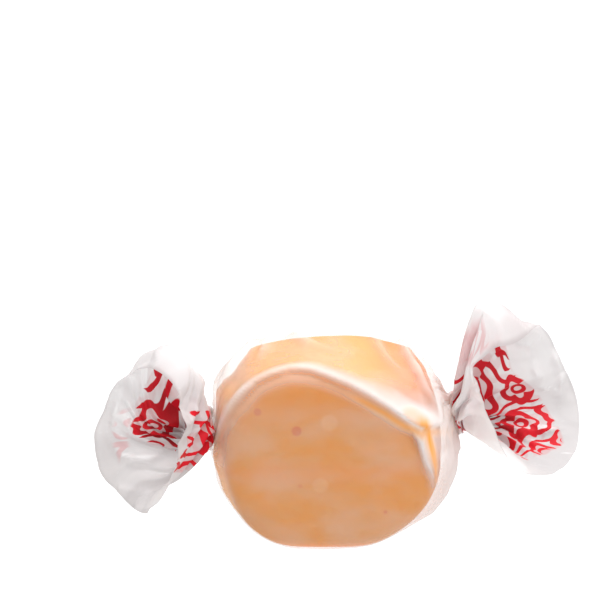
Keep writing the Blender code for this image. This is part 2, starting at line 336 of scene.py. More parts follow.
def paint_candy():
    """Soft pale orange taffy with faint clouds, streaks and bubbles, and painted light and shade."""
    paint = Paint("soft_taffy")
    clouds = paint.noise(paint.place((0.14, 0.14, 0.20)), detail=3.0, distortion=0.6)
    streaks = paint.noise(paint.place((0.05, 0.2, 0.32), turn=(0.0, 0.25, 0.0)), detail=4.0, distortion=1.2)
    fine = paint.noise(paint.place((1.2, 1.2, 1.2)), detail=2.0)
    across, depth, up = paint.parts(paint.place())
    on_face = 1.0 - paint.between(depth, *FACE_DEPTH)
    tone = paint.between(clouds * 0.6 + streaks * 0.4, *CLOUD_RANGE)
    face = paint.mix(tone, *FACE_TONES)
    from_pull = (up - PULL_HEIGHT + (clouds - 0.5) * 2.0).maths("ABSOLUTE")
    in_pull = (1.0 - paint.between(from_pull, 0.0, PULL_WIDTH)) * on_face
    face = paint.mix(in_pull * PULL_SHARE, face, FACE_STREAK_AND_SHADE)
    # Painted shadow of the paper's front fold: the top of the face turns a deeper orange.
    face = paint.mix(paint.between(up, *SHADED_TOP_HEIGHT) * SHADED_TOP_SHARE, face, FACE_STREAK_AND_SHADE)
    face = paint.mix(bubbles(paint, DARK_BUBBLES, across, up) * on_face, face, DARK_BUBBLE)
    face = paint.mix(bubbles(paint, PALE_BUBBLES, across, up) * on_face, face, PALE_BUBBLE)
    # Painted light and shade: behind the face, brighter for the light on top, darker to the right.
    sides = paint.mix(paint.between(across, *SIDE_SHADE_CHANGE), *SIDE_LIGHT_AND_SHADE_TONES)
    colour = paint.mix(on_face, sides, face)
    # Painted contact shade: a deeper orange along the foot, where the candy meets the table.
    colour = paint.mix((1.0 - paint.between(up, *FOOT_SHADE_HEIGHT)) * FOOT_SHADE_SHARE, colour, FOOT_SHADE_TONE)
    return paint.surface(
        Base_Color=colour, Roughness=0.42, Specular_IOR_Level=0.25, Subsurface_Weight=0.35,
        Subsurface_Scale=1.2 * MM, Subsurface_Radius=(1.0, 0.45, 0.2),
        Normal=paint.bump(clouds * 0.6 + fine * 0.15, 0.25, 0.4 * MM),
    )


candy.data.materials.append(paint_candy())
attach(candy, "root")
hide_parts("taffy")
print("candy material:", len(candy.active_material.node_tree.nodes), "nodes")

# %% [markdown]
# ## The sheet of paper, laid flat
#
# The real wrapper is a sheet of about 81 by 75 mm. It starts here as a flat grid, because a print or a fold
# belongs to the sheet and has to follow it wherever it is bent. Columns run across the sheet and end up
# round the candy, with a small overlap; rows run from the left cut edge over the left twist, the candy and
# the right twist to the right cut edge. The rows are closest together in the twists, where the paper bends
# most.

# %% Add the flat grid
ROUND_LENGTH = 76.0
OVERLAP = 0.07
COLUMNS = 264
WING_ROWS, WING_LENGTH = 44, 14.0
NECK_ROWS, NECK_LENGTH = 28, 3.5
BODY_ROWS, BODY_LENGTH = 92, 40.0
STRETCHES = (
    (WING_ROWS, WING_LENGTH), (NECK_ROWS, NECK_LENGTH), (BODY_ROWS, BODY_LENGTH),
    (NECK_ROWS, NECK_LENGTH), (WING_ROWS, WING_LENGTH),
)

row_lengths = np.concatenate([np.full(rows, length / rows) for rows, length in STRETCHES])
along = np.concatenate([[0.0], np.cumsum(row_lengths)])
ROWS = len(along)
turns = np.linspace(0.0, 1.0 + OVERLAP, COLUMNS + 1)
across = turns * ROUND_LENGTH
from_left = along
from_right = along[-1] - along
inwards = np.minimum(from_left, from_right)

bpy.ops.object.select_all(action="DESELECT")
bpy.ops.mesh.primitive_grid_add(x_subdivisions=COLUMNS, y_subdivisions=ROWS - 1, size=1.0)
paper = bpy.context.active_object
paper.name = "waxed_paper"
grid = np.zeros(len(paper.data.vertices) * 3)
paper.data.vertices.foreach_get("co", grid)
grid = grid.reshape(-1, 3)
column_of = np.rint((grid[:, 0] + 0.5) * COLUMNS).astype(int)
row_of = np.rint((grid[:, 1] + 0.5) * (ROWS - 1)).astype(int)
print("sheet:", round(across[-1], 1), "by", round(along[-1], 1), "mm in", COLUMNS, "by", ROWS - 1, "faces")

# %% [markdown]
# ## A skin over the candy and the twists
#
# A sheet pulled tight takes the form of a skin stretched over the candy and over the two twists: a convex
# hull. A Shrinkwrap modifier would press the paper into every dip instead. Close to the twists the paper
# stands off the candy, so two wider rings join the hull there, and a few single points do the same for the
# loose folds at the shoulders, at the lower corners and along the top.

# %% Directions and circles
SAMPLES = 720
sample_turn = np.linspace(0.0, 360.0, SAMPLES, endpoint=False)


def unit(vector):
    """The vector with a length of one."""
    vector = np.asarray(vector, dtype=float)
    return vector / np.maximum(np.linalg.norm(vector, axis=-1, keepdims=True), 1e-12)


def circle(middle, axis, radius):
    """Points on a circle square to an axis, starting level and rising, one for each sample."""
    level = unit(np.cross((0.0, 0.0, 1.0), axis))
    up = np.cross(axis, level)
    angle = np.radians(sample_turn)[:, None]
    return middle + np.reshape(radius, (-1, 1)) * (np.cos(angle) * level + np.sin(angle) * up)


print("samples on a ring:", SAMPLES)

# %% Choose what holds the skin off the candy
LEFT_NECK = np.array([-15.0, -0.5, 13.3])
RIGHT_NECK = np.array([15.3, 0.0, 15.2])
MIDDLE = np.array([0.0, 0.0, 11.4])
NECK_RADIUS = 2.35
NECK_HALF_LENGTH = 1.1
SKIN_AIR = 0.13
STANDING_OFF = (
    # (way back from the twist towards the candy, radius)
    (1.6, 4.6),
    (3.0, 7.2),
)
HULL_STEP = 6
LOOSE_FOLDS = (
    # places of single points that hold the skin off the candy
    (15.3, -2.0, 11.0), (14.8, -3.0, 8.6), (13.8, -3.5, 6.1), (12.1, -4.0, 3.9),
    (-14.3, -1.5, 10.3), (-14.1, -2.0, 8.5), (-13.2, -2.6, 6.3), (-11.8, -3.2, 4.2),
    (-14.5, 1.5, 17.6), (-14.0, 2.0, 18.4), (-13.5, 2.5, 19.1), (-12.7, 3.0, 20.2), (-10.0, 5.0, 21.9),
    (-2.4, 4.0, 23.7), (1.8, 4.0, 23.8), (5.2, 4.0, 23.5), (9.9, 5.0, 22.0), (12.3, 4.0, 19.5),
)
print("the skin is held off by", len(STANDING_OFF), "rings at each twist and", len(LOOSE_FOLDS), "points")


# %% Stretch the skin
def neck_start(neck):
    """Where a twist begins, on the candy's side, and its direction there."""
    outwards = unit(neck - MIDDLE)
    return neck - NECK_HALF_LENGTH * outwards, outwards


def skin_tree():
    """The convex skin over the candy and the twists."""
    candy.data.update()
    points = [np.array(v.co / MM + v.normal * SKIN_AIR) for v in candy.data.vertices]
    for neck in (LEFT_NECK, RIGHT_NECK):
        start, outwards = neck_start(neck)
        points.extend(circle(start, outwards, NECK_RADIUS)[::HULL_STEP])
        for back, radius in STANDING_OFF:
            points.extend(circle(start - back * outwards, outwards, radius)[::HULL_STEP])
    points.extend(LOOSE_FOLDS)
    hull = bmesh.new()
    verts = [hull.verts.new(point) for point in points]
    inside = bmesh.ops.convex_hull(hull, input=verts)["geom_interior"]
    bmesh.ops.delete(hull, geom=[v for v in inside if isinstance(v, bmesh.types.BMVert)], context="VERTS")
    tree = BVHTree.FromBMesh(hull)
    hull.free()
    return tree


skin = skin_tree()
skin_top = skin.ray_cast(Vector(MIDDLE), Vector((0.0, 0.0, 1.0)))[0]
print("the skin's top is", round(skin_top.z, 1), "mm high")

# %% [markdown]
# ## Where the candy fills its paper
#
# The soft candy has been pushed into the corners of its wrapper at both shoulders and a little at the top,
# so its colour shows nearly up to the twists. There its points move out along rays from the middle until
# they nearly meet the skin. A smooth step from 0 to 1, the same one that the material uses, fades the
# swelling out towards the flat cut face and the foot.

# %% Choose where the candy swells
SWELL = 0.85
MOST_SWELL = 2.8


def ease(value):
    """A smooth step from 0 to 1."""
    value = np.clip(value, 0.0, 1.0)
    return value * value * (3.0 - 2.0 * value)


def between(value, low, high):
    """Goes smoothly from 0 to 1 while the value goes from low to high. Low may be the larger one."""
    return ease((value - low) / (high - low))


def swell_share(x, y, z):
    """How much of the way to the skin the candy swells at a point, from ranges in millimetres."""
    high = between(z, 10.0, 15.0)
    low = between(z, 2.0, 5.0) - high
    to_right = between(x, 1.0, 8.0) * high + 0.5 * between(x, 7.0, 11.0) * low
    to_right *= between(y, -6.5, -3.5) * (1.0 - 0.6 * between(x, 9.0, 13.0))
    to_left = 0.8 * between(x, -3.0, -9.0) * high + between(x, -6.0, -10.0) * low
    to_left *= between(y, -7.6, -6.0) * (1.0 - 0.8 * between(z, 17.6, 19.0) * between(x, -9.0, -10.5))
    on_top = 0.8 * between(z, 17.0, 20.0) * between(abs(x), 9.0, 5.0) * between(y, -5.5, -2.5)
    return SWELL * min(to_right + to_left + on_top, 1.0)


print("swelling at the right shoulder:", round(swell_share(10.0, 0.0, 16.0), 2))


# %% Swell the candy
def swell_candy():
    """Moves the candy's surface out towards the paper and gives the longest way that it moved."""
    longest = 0.0
    for vert in candy.data.vertices:
        point = np.array(vert.co) / MM
        share = swell_share(*point)
        if share > 0.0:
            way = unit(point - MIDDLE)
            reached = np.array(skin.ray_cast(Vector(MIDDLE), Vector(way))[0])
            gap = float(np.clip((reached - point) @ way - SKIN_AIR, 0.0, MOST_SWELL))
            vert.co += Vector(way * share * gap * MM)
            longest = max(longest, share * gap)
    candy.data.update()
    return longest


print("the candy swells by up to", round(swell_candy(), 2), "mm")
print("swollen candy, box in mm:", [round(v / MM, 1) for v in candy.dimensions])

# %% [markdown]
# ## Rings of paper round the candy
#
# Rays from the middle of the candy find the paper on the skin. A first fan of rays stands square to the
# candy's length, and the next ones are tilted more and more towards a twist, so one ring of the paper is
# found after another. This keeps the rings evenly spread where the skin turns the corner from the rounded
# side to the cut faces, where slices square to the length would leave them far apart.

# %% Find the rings round the candy
STEEPEST = 76.0


def body_rings():
    """Rings of the paper round the candy, from the left twist to the right one."""
    angle = np.radians(sample_turn)
    spokes = np.stack([np.zeros(SAMPLES), np.cos(angle), np.sin(angle)], axis=-1)
    rings = []
    for place in np.linspace(-1.0, 1.0, BODY_ROWS + 1):
        tilt = math.radians(STEEPEST * place)
        pole = unit((RIGHT_NECK if tilt > 0 else LEFT_NECK) - MIDDLE)
        ways = unit(math.cos(tilt) * spokes + abs(math.sin(tilt)) * pole)
        rings.append([skin.ray_cast(Vector(MIDDLE), Vector(way))[0] for way in ways])
    return np.array(rings, dtype=float)


body = body_rings()
print("body rings:", body.shape[0], "lowest point", round(body[:, :, 2].min(), 2), "mm")

# %% [markdown]
# ## The opened ends
#
# Past each twist the sheet opens like a flower. A petal table says, for a few directions round the twist,
# how far the paper has come out (radius) and forward (reach) at half its length and at its cut edge. Each
# line of the paper from the twist to the edge is a curve with one bend, and a smooth closed curve carries
# it from petal to petal. Few numbers give the whole flower, and each can be compared with the photograph.

# %% Choose the petals
LEFT_AXIS = unit((-0.74, -0.65, 0.15))
LEFT_PETALS = (
    # (direction in degrees, radius and reach at half the length, radius and reach at the cut edge)
    (20.0, 3.8, 3.2, 6.4, 7.0),
    (50.0, 5.2, 3.0, 6.4, 6.2),
    (75.0, 8.4, 3.0, 7.0, 6.4),
    (98.0, 9.7, 4.2, 7.6, 7.6),
    (125.0, 6.4, 5.0, 7.2, 8.4),
    (160.0, 2.8, 6.0, 6.5, 9.0),
    (197.0, 2.6, 6.2, 7.5, 9.5),
    (218.0, 2.8, 6.0, 8.1, 9.5),
    (253.0, 3.6, 5.4, 7.6, 9.0),
    (289.0, 5.0, 4.2, 9.0, 8.2),
    (320.0, 4.6, 3.4, 7.2, 7.2),
    (350.0, 3.8, 2.8, 6.2, 6.8),
)
RIGHT_AXIS = unit((0.76, -0.52, 0.36))
RIGHT_PETALS = (
    (10.0, 5.0, 5.0, 8.6, 9.4),
    (37.0, 5.8, 5.2, 9.2, 9.4),
    (60.0, 8.4, 5.8, 8.0, 9.6),
    (80.0, 10.5, 6.2, 6.8, 9.6),
    (99.0, 11.4, 6.9, 6.4, 8.9),
    (114.0, 12.0, 8.0, 6.8, 7.2),
    (128.0, 7.0, 4.2, 6.8, 5.0),
    (142.0, 4.4, 2.6, 5.6, 4.8),
    (150.0, 4.4, 2.8, 5.6, 5.2),
    (185.0, 4.8, 3.6, 7.6, 7.2),
    (212.0, 5.8, 4.0, 9.6, 8.6),
    (235.0, 5.6, 4.8, 9.4, 9.4),
    (265.0, 5.4, 5.2, 8.6, 10.2),
    (317.0, 5.2, 5.2, 8.8, 10.0),
    (347.0, 5.2, 5.0, 8.9, 9.8),
)
print("petals:", len(LEFT_PETALS), "left and", len(RIGHT_PETALS), "right")


# %% A smooth closed curve through a few values
def closed_curve(angles, values, at):
    """A smooth closed curve through values at given angles in degrees, read at other angles."""
    count = len(angles)
    at = np.mod(at - angles[0], 360.0) + angles[0]
    here = np.searchsorted(angles, at, side="right") - 1
    after = np.where(here + 1 < count, angles[(here + 1) % count], angles[0] + 360.0)
    gap = after - angles[here]
    gap_before = np.mod(angles[here] - angles[(here - 1) % count], 360.0)
    gap_after = np.mod(angles[(here + 2) % count] - after, 360.0)
    before, start, end, beyond = (values[(here + step) % count] for step in (-1, 0, 1, 2))
    slope_start = (start - before) / gap_before * gap + (end - start) / gap * gap_before
    slope_end = (end - start) / gap * gap_after + (beyond - end) / gap_after * gap
    slope_start = slope_start / (gap_before + gap) * gap
    slope_end = slope_end / (gap + gap_after) * gap
    t = (at - angles[here]) / gap
    curve = (2 * t**3 - 3 * t**2 + 1) * start + (t**3 - 2 * t**2 + t) * slope_start
    return curve + (3 * t**2 - 2 * t**3) * end + (t**3 - t**2) * slope_end


around, half_radius, *_ = np.array(RIGHT_PETALS).T
print("widest right petal:", round(float(closed_curve(around, half_radius, sample_turn).max()), 1), "mm")


# %% Bend the twists and open the ends
def neck_path(neck, wing_axis, t):
    """A point of a twist's bent middle line, and its direction there."""
    start, outwards = neck_start(neck)
    end = neck + NECK_HALF_LENGTH * wing_axis
    place = (1 - t) ** 2 * start + 2 * t * (1 - t) * neck + t**2 * end
    return place, unit((1 - t) * outwards + t * wing_axis)


def neck_rings(neck, wing_axis):
    """Rings of a twist from the candy's side outwards, without its first."""
    shares = np.linspace(0.0, 1.0, NECK_ROWS + 1)[1:]
    return [circle(*neck_path(neck, wing_axis, t), NECK_RADIUS) for t in shares]


def wing_rings(neck, wing_axis, petals):
    """Rings of an opened end from the twist outwards, without its first."""
    around, *rows = np.array(petals).T
    mid_radius, mid_reach, rim_radius, rim_reach = (closed_curve(around, row, sample_turn) for row in rows)
    pull_radius = 2.0 * mid_radius - 0.5 * NECK_RADIUS - 0.5 * rim_radius
    pull_reach = 2.0 * mid_reach - 0.5 * rim_reach
    start, axis = neck_path(neck, wing_axis, 1.0)
    rings = []
    for t in np.linspace(0.0, 1.0, WING_ROWS + 1)[1:]:
        radius = (1 - t) ** 2 * NECK_RADIUS + 2 * t * (1 - t) * pull_radius + t**2 * rim_radius
        reach = 2 * t * (1 - t) * pull_reach + t**2 * rim_reach
        rings.append(circle(start, axis, radius) + reach[:, None] * axis)
    return rings


def mirrored(rings):
    """The rings of the left end, turned to run the same way round as those of the right end."""
    order = np.mod(SAMPLES // 2 - np.arange(SAMPLES), SAMPLES)
    return [ring[order] for ring in rings]


left = mirrored(neck_rings(LEFT_NECK, LEFT_AXIS) + wing_rings(LEFT_NECK, LEFT_AXIS, LEFT_PETALS))[::-1]
right = neck_rings(RIGHT_NECK, RIGHT_AXIS) + wing_rings(RIGHT_NECK, RIGHT_AXIS, RIGHT_PETALS)
rings = np.array(left + list(body) + right)
print("rings:", rings.shape)

# %% [markdown]
# ## Turning the sheet in the twists
#
# Each column of the sheet has an angle on each ring. On the body the side edge of the sheet lies behind and
# below. In the twists that angle turns on, which is what makes the pleats there slant, and on the two ends
# the side edge comes out at the long corner of the opened paper. A little more turn, strongest just outside
# a twist, lets the folds of the opened ends run in a swirl.

# %% Give each point of the sheet an angle on its ring
SEAM_BODY = 290.0
SEAM_LEFT = 611.0
SEAM_RIGHT = 118.0
TWIST_INTO_BODY = 2.0
TWIST_INTO_WING = 1.2
SWIRL_LEFT = -70.0
SWIRL_RIGHT = 25.0
SWIRL_FROM, SWIRL_TO = 3.0, 12.0


def twist_share(from_edge):
    """0 on the candy, 1 on the opened end."""
    return between(from_edge, WING_LENGTH + NECK_LENGTH + TWIST_INTO_BODY, WING_LENGTH - TWIST_INTO_WING)


def swirl_share(from_edge):
    """Rises from the cut edge to the twist and dies out in the twist."""
    dying_out = between(from_edge, WING_LENGTH + NECK_LENGTH, WING_LENGTH)
    return between(from_edge, SWIRL_FROM, SWIRL_TO) * dying_out


seam = SEAM_BODY + (SEAM_LEFT - SEAM_BODY) * twist_share(from_left)
seam = seam + SWIRL_LEFT * swirl_share(from_left) + SWIRL_RIGHT * swirl_share(from_right)
seam = seam + (SEAM_RIGHT - SEAM_BODY) * twist_share(from_right)
smooth_angles = seam[:, None] + 360.0 * turns[None, :]
print("the sheet's side edge lies at", [round(seam[row]) for row in (0, ROWS // 2, -1)], "degrees")


# %% Read the rings and find the sheet's smooth form
def read_rings(angles):
    """Points of the rings at any angles, one row of angles to a ring."""
    place = np.mod(angles, 360.0) / 360.0 * SAMPLES
    low = np.floor(place).astype(int) % SAMPLES
    high = (low + 1) % SAMPLES
    share = (place - np.floor(place))[..., None]
    row = np.arange(len(rings))[:, None]
    return rings[row, low] * (1 - share) + rings[row, high] * share


def sheet_normals(points):
    """Normals of the sheet's grid of points."""
    return unit(np.cross(np.gradient(points, axis=1), np.gradient(points, axis=0)))


smooth_sheet = read_rings(smooth_angles)
smooth_normals = sheet_normals(smooth_sheet)
from_middle = smooth_sheet[ROWS // 2] - MIDDLE
outward_sign = 1.0 if np.mean(np.sum(smooth_normals[ROWS // 2] * from_middle, axis=-1)) > 0 else -1.0
smooth_normals *= outward_sign
girth = np.linalg.norm(rings - np.roll(rings, 1, axis=1), axis=-1).sum(axis=1)
print("girth of the rings in mm:", [round(g, 1) for g in girth[::24]])

# %% [markdown]
# ## Pleats
#
# Paper does not stretch, so where its whole width is gathered into a twist it has to fold over itself. The
# pleats are a wave with flat sides that runs along the sheet's own columns. Each pleat also leans to one
# side, by moving round the ring as much as it moves out, so that it lies over its neighbour. Between the
# pleats the paper is drawn in to the middle of the twist, which closes it, as in a real twisted wrapper.

# %% Shape the pleats
PLEATS = 10
PLEAT_TIP = 0.96
UNEVEN_WIDTHS = ((2, 0.30, 0.1), (3, 0.22, 0.7))
UNEVEN_HEIGHTS = ((3, 0.30, 0.3), (7, 0.15, 0.5))
PLEAT_REACH = (0.0, 3.0, 7.0, 10.5, 13.0, 15.0, 17.5, 19.0, 21.0, 25.0)
PLEAT_HEIGHT = (0.06, 0.14, 0.36, 0.76, 0.60, 0.34, 0.24, 0.15, 0.06, 0.0)
PLEAT_LEAN = (0.3, 0.6, 1.0, 1.4, 1.6, 1.6, 1.6, 1.2, 0.5, 0.0)
DRAWN_IN = 2.25
DRAWN_FROM, DRAWN_TO = 13.4, 17.6
DRAWN_FADE = 1.4
VALLEY_SHARPNESS = 2.5


def zigzag(phase):
    """A wave between -1 and 1 with straight sides and slightly rounded tips."""
    return np.arcsin(PLEAT_TIP * np.sin(2 * np.pi * phase)) / np.arcsin(PLEAT_TIP)


def waves(*parts):
    """A sum of sine waves round the sheet, from their (number in one turn, height, start)."""
    return sum(height * np.sin(2 * np.pi * (number * turns + start)) for number, height, start in parts)


wave = zigzag(PLEATS * turns + waves(*UNEVEN_WIDTHS))
pleats = wave * (1.0 + waves(*UNEVEN_HEIGHTS))
pleat_height = np.interp(inwards, PLEAT_REACH, PLEAT_HEIGHT)[:, None] * pleats[None, :]
lean = np.interp(inwards, PLEAT_REACH, PLEAT_LEAN)[:, None] * pleat_height
angles = smooth_angles + np.degrees(lean / (girth / (2 * np.pi))[:, None])
in_twist = between(inwards, DRAWN_FROM, DRAWN_FROM + DRAWN_FADE)
in_twist = in_twist * between(inwards, DRAWN_TO, DRAWN_TO - DRAWN_FADE)
valleys = np.maximum(-wave, 0.0) ** VALLEY_SHARPNESS
pleat_height = pleat_height - DRAWN_IN * in_twist[:, None] * valleys[None, :]
sheet = read_rings(angles) + pleat_height[..., None] * smooth_normals
print("pleats from", round(pleat_height.min(), 2), "to", round(pleat_height.max(), 2), "mm high")

# %% [markdown]
# ## Crumpled facets
#
# Crumpled paper is a landscape of flat facets that meet in straight creases, where noise would give soft
# hills. Random points on the flat sheet get random heights, a Delaunay triangulation joins them with flat
# triangles, and each point of the sheet reads its height from the triangle that it lies in. Coarse facets
# and fine ones are added together. They fade out over the cut face of the candy, where the paper is tight.

# %% Choose the facets
SEED = 11
RANDOM = np.random.default_rng(SEED)
COARSE_CELL = 4.8
FINE_CELL = 2.2
SHIFTED = 0.4
SAME_POINT = 1e-4
RAY_START = 10.0
FACET_REACH = (0.0, 9.0, 14.0, 17.5, 22.0, 28.0)
COARSE_HEIGHT = (0.60, 0.50, 0.16, 0.08, 0.05, 0.020)
FINE_HEIGHT = (0.14, 0.16, 0.10, 0.06, 0.03, 0.010)
OFF_FACE_TIMES = 6.0
OFF_FACE_LIFT = 0.06
OFF_FACE_FROM, OFF_FACE_TO = -0.85, -0.45
OVER_CANDY_FROM, OVER_CANDY_TO = 19.0, 25.0
print("facets of", COARSE_CELL, "and", FINE_CELL, "mm")


# %% Crumple the sheet
def facets(cell):
    """Heights between -1 and 1 of flat triangles between random points about one cell apart."""
    xs = np.arange(-cell, across[-1] + 2 * cell, cell)
    ys = np.arange(-cell, along[-1] + 2 * cell, cell)
    points = [
        (x + RANDOM.uniform(-SHIFTED, SHIFTED) * cell, y + RANDOM.uniform(-SHIFTED, SHIFTED) * cell)
        for x in xs for y in ys
    ]
    flat_points, _, faces, *_ = delaunay_2d_cdt([Vector(point) for point in points], [], [], 0, SAME_POINT)
    heights = RANDOM.uniform(-1.0, 1.0, len(flat_points))
    land = BVHTree.FromPolygons([(p.x, p.y, h) for p, h in zip(flat_points, heights)], faces)
    result = np.empty((ROWS, COLUMNS + 1))
    for row, y in enumerate(along):
        for column, x in enumerate(across):
            result[row, column] = land.ray_cast(Vector((x, y, RAY_START)), Vector((0.0, 0.0, -1.0)))[0].z
    return result


crumple = facets(COARSE_CELL) * np.interp(inwards, FACET_REACH, COARSE_HEIGHT)[:, None]
crumple = crumple + facets(FINE_CELL) * np.interp(inwards, FACET_REACH, FINE_HEIGHT)[:, None]
over_candy = np.interp(inwards, (OVER_CANDY_FROM, OVER_CANDY_TO), (0.0, 1.0))[:, None]
off_face = between(smooth_normals[..., 1], OFF_FACE_FROM, OFF_FACE_TO) * over_candy
crumple = crumple * (1.0 + (OFF_FACE_TIMES - 1.0) * off_face) + OFF_FACE_LIFT * off_face
sheet = sheet + crumple[..., None] * smooth_normals
print("facets between", round(crumple.min(), 2), "and", round(crumple.max(), 2), "mm")

# %% [markdown]
# ## Creases over the candy
#
# Some creases are easy to name: the long fold over the front of the top, the one down the right edge of the
# face, and the soft ones over the top and at the left shoulder. Each is a line of guide points on the
# stretched skin with a height, and two widths, one for each side, so that a fold can be steep on one side
# and soft on the other. A fold that leans also moves the paper sideways, down over the face.

# %% Choose the creases over the candy
BODY_CREASES = (
    # (((place along the candy in mm, angle round it, height), ...), width below, width above, lean down)
    (((-13.8, 150, 0.3), (-12.7, 141, 0.6), (-11.1, 134, 0.7), (-9.6, 128, 0.7), (-8.5, 124, 0.6),
      (-7.0, 122, 0.6), (-4.8, 120, 0.6), (-2.5, 121, 0.7), (-0.2, 124, 0.8), (2.0, 127, 0.8),
      (4.3, 131, 0.9), (6.6, 136, 0.9), (8.8, 143, 0.9), (10.6, 147, 0.7), (12.2, 141, 0.5),
      (13.4, 136, 0.2)), 0.7, 2.2, 0.5),
    (((11.6, 212, 0.0), (11.3, 194, 0.8), (10.5, 172, 1.0), (9.7, 151, 1.0), (8.8, 146, 0.4)), 0.7, 0.6, 0.0),
    (((-7.7, 50, 0.0), (-7.9, 68, 0.6), (-8.1, 83, 0.6), (-8.8, 100, 0.0)), 1.0, 1.6, 0.0),
    (((-5.4, 50, 0.0), (-4.4, 68, 0.6), (-2.6, 84, 0.5), (0.5, 98, 0.0)), 1.4, 1.4, 0.0),
    (((4.4, 50, 0.0), (5.0, 72, 0.5), (6.6, 95, 0.4), (9.0, 118, 0.0)), 1.4, 1.4, 0.0),
    (((8.0, 50, 0.0), (8.6, 72, 0.7), (9.5, 95, 0.7), (10.8, 117, 0.6), (13.2, 136, 0.3)), 0.9, 1.6, 0.0),
    (((-13.2, 96, 0.3), (-12.2, 86, 1.0), (-10.2, 72, 1.2), (-8.2, 60, 0.4)), 1.0, 1.3, 0.0),
)
GUIDE_STEPS = 8


def finely(columns):
    """The columns of a crease's guide points, with more points between them."""
    count = len(columns[0])
    steps = np.linspace(0.0, count - 1.0, GUIDE_STEPS * count)
    return [np.interp(steps, np.arange(count), column) for column in columns]


def body_guide(crease):
    """Points of a guide line on the skin round the candy, closely spaced, with their heights."""
    x, angle, height = finely(np.array(crease, dtype=float).T)
    way = np.stack([np.zeros(len(x)), np.cos(np.radians(angle)), np.sin(np.radians(angle))], axis=-1)
    start = np.stack([x, np.full(len(x), MIDDLE[1]), np.full(len(x), MIDDLE[2])], axis=-1)
    found = [skin.ray_cast(Vector(a), Vector(b))[0] for a, b in zip(start, way)]
    return np.array(found, dtype=float), height


print("front fold:", len(body_guide(BODY_CREASES[0][0])[1]), "guide points")

# %% [markdown]
# ## Creases in the opened ends
#
# The two ends are creased where they were pinched and pulled open. Their guide points count round the twist
# and out towards the cut edge. A height below zero is a crease that is pressed in.

# %% Choose the creases in the ends
LEFT_CREASES = (
    # (((angle round the twist, share of the way to the cut edge, height), ...), the two widths, lean)
    (((184, 0.91, 0.0), (206, 0.80, -0.4), (226, 0.73, -0.5), (242, 0.66, -0.6), (252, 0.52, -0.6),
      (253, 0.34, -0.4), (242, 0.22, 0.0)), 1.6, 1.0, 0.0),
    (((138, 0.86, 0.0), (150, 0.84, -0.4), (161, 0.84, -0.5), (184, 0.80, -0.5), (208, 0.68, -0.4),
      (231, 0.58, 0.0)), 0.8, 0.8, 0.0),
    (((250, 0.97, 0.0), (256, 0.95, -0.3), (271, 0.84, -0.4), (286, 0.77, -0.2),
      (300, 0.72, 0.0)), 0.5, 1.5, 0.0),
    (((48, 0.95, 0.0), (45, 0.70, 0.5), (40, 0.45, 0.5), (34, 0.25, 0.0)), 0.8, 0.8, 0.0),
    (((2, 0.95, 0.0), (12, 0.70, 0.6), (20, 0.40, 0.5), (26, 0.20, 0.0)), 0.8, 0.8, 0.0),
    (((128, 0.30, 0.0), (132, 0.50, -0.5), (126, 0.75, -0.4), (118, 0.92, 0.0)), 0.9, 0.9, 0.0),
)
RIGHT_CREASES = (
    (((60, 0.45, 0.0), (48, 0.61, -0.5), (42, 0.73, -0.6), (30, 0.73, -0.6), (10, 0.70, -0.5),
      (0, 0.62, 0.0)), 0.7, 0.7, 0.0),
    (((45, 1.00, -0.3), (39, 0.95, -0.5), (24, 0.95, -0.5), (8, 0.95, -0.5), (348, 0.86, -0.4),
      (334, 0.80, 0.0)), 0.8, 0.8, 0.0),
    (((283, 0.22, 0.0), (288, 0.32, -0.5), (296, 0.48, -0.7), (304, 0.64, -0.7), (311, 0.77, -0.5),
      (318, 0.86, 0.0)), 3.0, 0.5, 0.0),
    (((122, 0.30, 0.0), (118, 0.50, 0.5), (112, 0.75, 0.5), (108, 0.98, 0.3)), 0.6, 1.4, 0.0),
    (((168, 0.15, 0.0), (170, 0.45, 0.5), (174, 0.80, 0.4), (176, 1.00, 0.0)), 0.9, 0.9, 0.0),
    (((200, 0.10, 0.0), (204, 0.45, 0.6), (208, 0.80, 0.4), (210, 1.00, 0.0)), 1.1, 0.8, 0.0),
)


def wing_guide(crease, is_left):
    """Points of a guide line on an opened end, closely spaced, with their heights."""
    angle, share, height = np.array(crease, dtype=float).T
    angle, share, height = finely([np.degrees(np.unwrap(np.radians(angle))), share, height])
    row = np.rint(WING_ROWS * ((1.0 - share) if is_left else share)).astype(int)
    row = row if is_left else row + ROWS - 1 - WING_ROWS
    angle = 180.0 - angle if is_left else angle
    sample = np.rint(np.mod(angle, 360.0) / 360.0 * SAMPLES).astype(int) % SAMPLES
    return rings[row, sample], height


print("creases:", len(BODY_CREASES), "over the candy,", len(LEFT_CREASES) + len(RIGHT_CREASES), "in the ends")

# %% [markdown]
# ## Raising a crease
#
# Every point of the sheet looks for the nearest place on the guide line. The nearer it is, the further it
# moves out, so the paper rises to a ridge. Just below a fold that leans down, the paper turns back towards
# the candy: that foot is remembered, because a painted shadow of deep orange goes there, and so is the
# ridge, which is whiter.

# %% Define how one crease is raised
RIDGE_SHARPNESS = 1.3
FOOT_PLACE = 1.6
FOOT_FROM, FOOT_TO = 1.0, 4.0
LEAST_FOOT = 0.6


